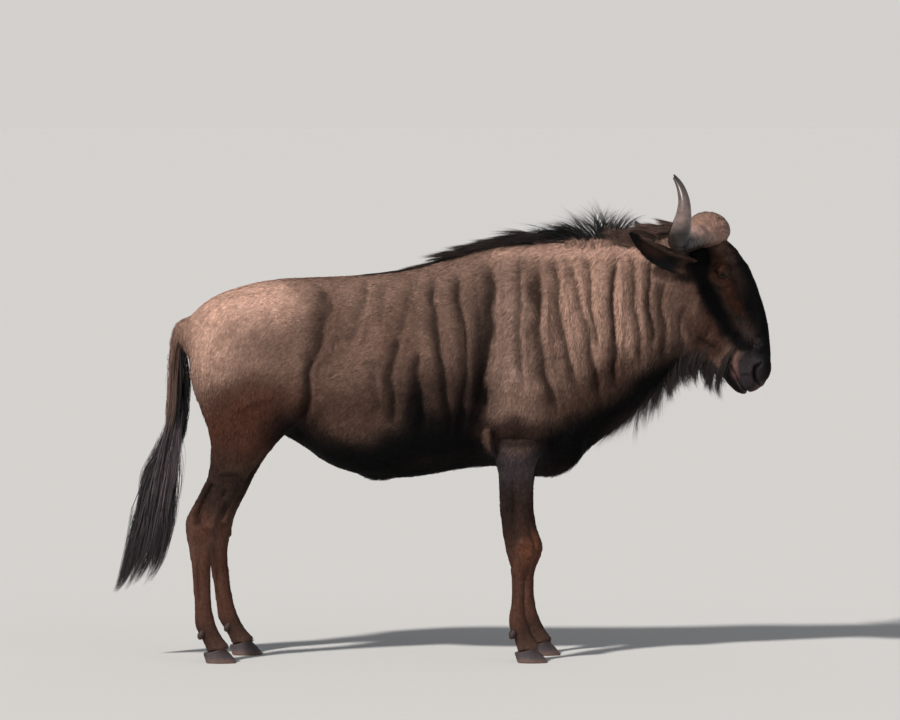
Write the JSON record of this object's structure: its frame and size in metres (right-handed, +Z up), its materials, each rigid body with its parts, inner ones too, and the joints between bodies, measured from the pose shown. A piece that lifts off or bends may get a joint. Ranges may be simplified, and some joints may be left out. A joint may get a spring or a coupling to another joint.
{
  "type": "blue wildebeest",
  "caption": "Life-size standing model of a blue wildebeest bull in profile, head low, with horns, mane, beard and long black tail.",
  "frame": {"origin": "on the floor, below the middle of the whole animal's box", "axes": "+X the way the animal faces, +Y its left side, +Z up"},
  "size_m": [2.2013, 0.6827, 1.6309],
  "materials": {
    "hide": "short grey-brown coat with a silver sheen and dark stripes",
    "hair": "long coarse black hair",
    "horn": "grey horn, rough and pinkish brown on the boss, smooth to the tips",
    "hoof": "dark worn hoof horn",
    "eye": "dark wet eye"
  },
  "bodies": {
    "root": {"torso": "hide", "neck": "hide", "head": "hide", "ear_right": "hide", "ear_left": "hide", "eye_right": "eye", "eye_left": "eye", "horn_right": "horn", "horn_left": "horn", "upper_arm_right": "hide", "forearm_right": "hide", "fore_cannon_right": "hide", "fore_foot_right": "hide", "thigh_right": "hide", "shank_right": "hide", "hind_cannon_right": "hide", "hind_foot_right": "hide", "upper_arm_left": "hide", "forearm_left": "hide", "fore_cannon_left": "hide", "fore_foot_left": "hide", "thigh_left": "hide", "shank_left": "hide", "hind_cannon_left": "hide", "hind_foot_left": "hide", "hoof_fore_right_inner": "hoof", "hoof_fore_right_outer": "hoof", "hoof_fore_left_inner": "hoof", "hoof_fore_left_outer": "hoof", "hoof_hind_right_inner": "hoof", "hoof_hind_right_outer": "hoof", "hoof_hind_left_inner": "hoof", "hoof_hind_left_outer": "hoof", "tail_dock": "hide", "tail_tuft": "hair"}
  },
  "joints": []
}
